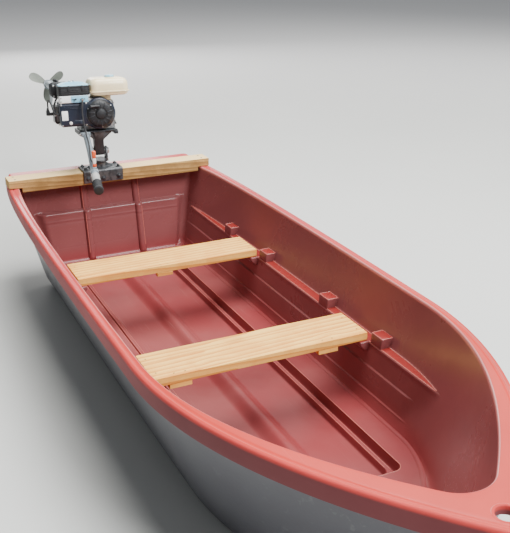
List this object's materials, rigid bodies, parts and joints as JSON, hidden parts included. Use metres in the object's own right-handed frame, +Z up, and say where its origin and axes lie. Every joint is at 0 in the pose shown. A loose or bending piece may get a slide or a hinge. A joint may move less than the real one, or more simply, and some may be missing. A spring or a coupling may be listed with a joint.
{
  "type": "small moulded longtail boat with motor",
  "caption": "Small open moulded boat with plank thwarts, a timber across the transom and a longtail motor that steers, tilts and turns its propeller.",
  "frame": {"origin": "on the ground under the middle of the bounding box of the boat with its motor", "axes": "+X to the bow along the hull's centre line, +Y to port, +Z up"},
  "size_m": [4.435, 0.9352, 0.8657],
  "materials": {
    "terracotta": "semi-gloss moulded terracotta red, scuffed",
    "hull_grey": "dull dark grey moulded plastic",
    "pine": "raw sawn pine with knots",
    "old_timber": "weathered olive brown timber",
    "dark_steel": "worn dark paint",
    "cast_alloy": "rough cast",
    "dark_blue": "glossy blue black paint",
    "black_plastic": "moulded black",
    "pale_blue": "pale blue moulded",
    "white_plate": "blank white and light blue plate",
    "cream": "cream enamel",
    "grey_paint": "blue grey paint",
    "rubber": "dark rubber",
    "orange": "orange and white lever",
    "bright_alloy": "bright cast and turned"
  },
  "bodies": {
    "root": {"hull_shell": "hull_grey", "deck_liner": "terracotta", "front_thwart": "pine", "rear_thwart": "pine", "front_batten_starboard": "pine", "front_batten_port": "pine", "rear_batten": "pine", "transom_beam": "old_timber", "mount_bracket": "dark_steel"},
    "swivel": {"swivel_fork": "dark_steel", "tilt_pin": "bright_alloy"},
    "motor": {"cradle": "dark_steel", "crankcase": "cast_alloy", "cylinder": "cast_alloy", "valve_cover": "cast_alloy", "fan_housing": "dark_blue", "recoil_starter": "black_plastic", "recoil_handle": "black_plastic", "air_cleaner": "black_plastic", "air_cleaner_lid": "pale_blue", "control_panel": "white_plate", "carburettor": "cast_alloy", "fuel_tank": "cream", "fuel_cap": "pale_blue", "muffler": "dark_steel", "plug_cap": "rubber", "ignition_lead": "rubber", "bell_housing": "cast_alloy", "tail_tube": "grey_paint", "tail_brace": "grey_paint", "brace_clamp": "dark_steel", "stern_bearing": "grey_paint", "skeg": "grey_paint", "tiller_bar": "grey_paint", "tiller_grip": "rubber", "throttle_lever": "orange", "throttle_cable": "rubber"},
    "propeller": {"propeller": "bright_alloy", "propeller_nut": "bright_alloy"}
  },
  "joints": [
    {"name": "steer_swivel", "type": "hinge", "parent": "root", "child": "swivel", "pos_m": [-0.39656, -0.046, 0.5], "axis": [0, 0, 1], "range_deg": [-42, 54]},
    {"name": "tail_tilt", "type": "hinge", "parent": "swivel", "child": "motor", "pos_m": [-0.39656, -0.046, 0.552], "axis": [0.1045, 0.9945, 0], "range_deg": [-28, 8]},
    {"name": "propeller_spin", "type": "hinge", "parent": "motor", "child": "propeller", "pos_m": [-2.16525, 0.14794, 0.52829], "axis": [0.9891, -0.104, 0.1045], "continuous": true}
  ]
}
